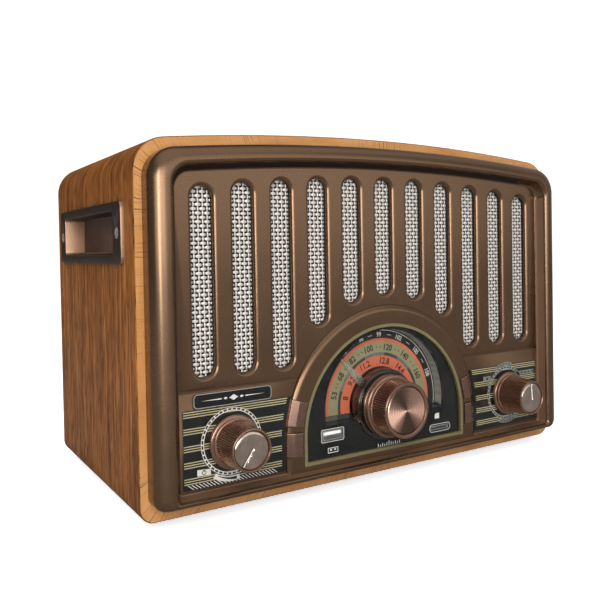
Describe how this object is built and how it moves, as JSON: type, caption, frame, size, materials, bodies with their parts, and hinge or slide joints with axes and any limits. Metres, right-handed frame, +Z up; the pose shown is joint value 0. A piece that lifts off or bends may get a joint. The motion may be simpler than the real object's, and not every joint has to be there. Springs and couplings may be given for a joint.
{
  "type": "tabletop radio",
  "caption": "Retro tabletop radio with a wooden cabinet, slotted bronze front, arched dial, three knobs, side finger cups and a telescopic aerial.",
  "frame": {"origin": "centre of the bounding box in plan, on the plane of the feet, aerial stowed", "axes": "+X to the listener's right along the cabinet, +Y from the front to the rear panel, +Z up"},
  "size_m": [0.304, 0.1926, 0.2028],
  "materials": {
    "wood_veneer": "satin walnut-grain veneer, paler orange along the front edge",
    "raw_pine": "raw sawn",
    "fibreboard": "raw fibreboard",
    "bronze_paint": "satin bronze metallic",
    "mesh_wire": "bright woven wire",
    "black_cloth": "matt dust cloth",
    "black_plastic": "fine moulded grain",
    "black_steel": "satin black",
    "zinc_steel": "bright zinc",
    "gloss_black": "glossy",
    "clear_lens": "clear polished",
    "gold_trim": "satin khaki gold",
    "printed_dial": "printed scale",
    "pointer_white": "satin white",
    "copper_plate": "polished copper plating",
    "spun_copper": "spun copper",
    "dark_mirror": "dark mirror",
    "cream_plastic": "moulded",
    "amber_laminate": "laminate",
    "striped_plate": "black with fine gold lines",
    "key_bronze": "satin copper",
    "green_board": "lacquered board",
    "paper_cone": "pressed paper",
    "ferrite": "dark sintered ferrite",
    "cup_plastic": "satin dark brown",
    "foot_rubber": "matt",
    "copper_winding": "wound wire",
    "battery_wrap": "shrink wrap",
    "aerial_chrome": "polished"
  },
  "bodies": {
    "cabinet": {"cabinet_shell": "wood_veneer", "rear_battens": "raw_pine", "baffle_board": "fibreboard", "front_bezel": "bronze_paint", "grille_panel": "bronze_paint", "grille_mesh": "mesh_wire", "speaker_cloth": "black_cloth", "rear_panel": "black_plastic", "rear_panel_screws": "black_steel", "front_panel_screws": "zinc_steel", "control_panel": "gloss_black", "dial_lens": "clear_lens", "dial_trim": "gold_trim", "dial_plate": "printed_dial", "tuning_capacitor": "cream_plastic", "volume_control": "zinc_steel", "function_switch": "amber_laminate", "control_nuts": "zinc_steel", "left_stripe_plate": "striped_plate", "right_stripe_plate": "striped_plate", "badge_plate": "gloss_black", "key_switches": "black_plastic", "usb_socket": "zinc_steel", "card_socket": "zinc_steel", "media_board": "green_board", "left_speaker_frame": "black_steel", "left_speaker_cone": "paper_cone", "left_speaker_magnet": "ferrite", "right_speaker_frame": "black_steel", "right_speaker_cone": "paper_cone", "right_speaker_magnet": "ferrite", "speaker_screws": "zinc_steel", "left_handle_cup": "cup_plastic", "right_handle_cup": "cup_plastic", "handle_screws": "zinc_steel", "rubber_feet": "foot_rubber", "main_board": "green_board", "ferrite_rod": "ferrite", "antenna_coils": "copper_winding", "battery_pack": "battery_wrap", "mains_inlet": "black_plastic"},
    "tuning": {"tuning_knob": "copper_plate", "tuning_cap": "spun_copper", "tuning_spindle": "zinc_steel", "pointer_hub": "gloss_black", "dial_pointer": "pointer_white"},
    "volume": {"volume_knob": "copper_plate", "volume_cap": "dark_mirror", "volume_spindle": "zinc_steel"},
    "function": {"function_knob": "copper_plate", "function_cap": "dark_mirror", "function_spindle": "zinc_steel"},
    "upper_left_key": {"upper_left_key": "key_bronze"},
    "lower_left_key": {"lower_left_key": "key_bronze"},
    "upper_right_key": {"upper_right_key": "key_bronze"},
    "lower_right_key": {"lower_right_key": "key_bronze"},
    "aerial_foot": {"aerial_foot": "black_steel"},
    "aerial_tube": {"aerial_tube": "aerial_chrome"},
    "aerial_middle": {"aerial_middle": "aerial_chrome"},
    "aerial_tip": {"aerial_tip": "aerial_chrome"}
  },
  "joints": [
    {"name": "tuning_turn", "type": "hinge", "parent": "cabinet", "child": "tuning", "pos_m": [0, -0.0933, 0.0453], "axis": [0, 1, 0], "range_deg": [-42, 130]},
    {"name": "volume_turn", "type": "hinge", "parent": "cabinet", "child": "volume", "pos_m": [-0.1017, -0.0963, 0.0401], "axis": [0, 1, 0], "range_deg": [0, 290]},
    {"name": "function_turn", "type": "hinge", "parent": "cabinet", "child": "function", "pos_m": [0.1017, -0.0963, 0.0401], "axis": [0, 1, 0], "range_deg": [-60, 60]},
    {"name": "upper_left_key_press", "type": "slide", "parent": "cabinet", "child": "upper_left_key", "axis": [0, 1, 0], "range_m": [0, 0.0012], "stiffness_N_per_m": 900},
    {"name": "lower_left_key_press", "type": "slide", "parent": "cabinet", "child": "lower_left_key", "axis": [0, 1, 0], "range_m": [0, 0.0012], "stiffness_N_per_m": 900},
    {"name": "upper_right_key_press", "type": "slide", "parent": "cabinet", "child": "upper_right_key", "axis": [0, 1, 0], "range_m": [0, 0.0012], "stiffness_N_per_m": 900},
    {"name": "lower_right_key_press", "type": "slide", "parent": "cabinet", "child": "lower_right_key", "axis": [0, 1, 0], "range_m": [0, 0.0012], "stiffness_N_per_m": 900},
    {"name": "aerial_swivel", "type": "hinge", "parent": "cabinet", "child": "aerial_foot", "pos_m": [0.118, 0.0873, 0.174], "axis": [0, 1, 0], "range_deg": [0, 180]},
    {"name": "aerial_tilt", "type": "hinge", "parent": "aerial_foot", "child": "aerial_tube", "pos_m": [0.118, 0.0927, 0.174], "axis": [0, 0, -1], "range_deg": [0, 90]},
    {"name": "aerial_middle_slide", "type": "slide", "parent": "aerial_tube", "child": "aerial_middle", "axis": [-1, 0, 0], "range_m": [0, 0.13]},
    {"name": "aerial_tip_slide", "type": "slide", "parent": "aerial_middle", "child": "aerial_tip", "axis": [-1, 0, 0], "range_m": [0, 0.13]}
  ]
}
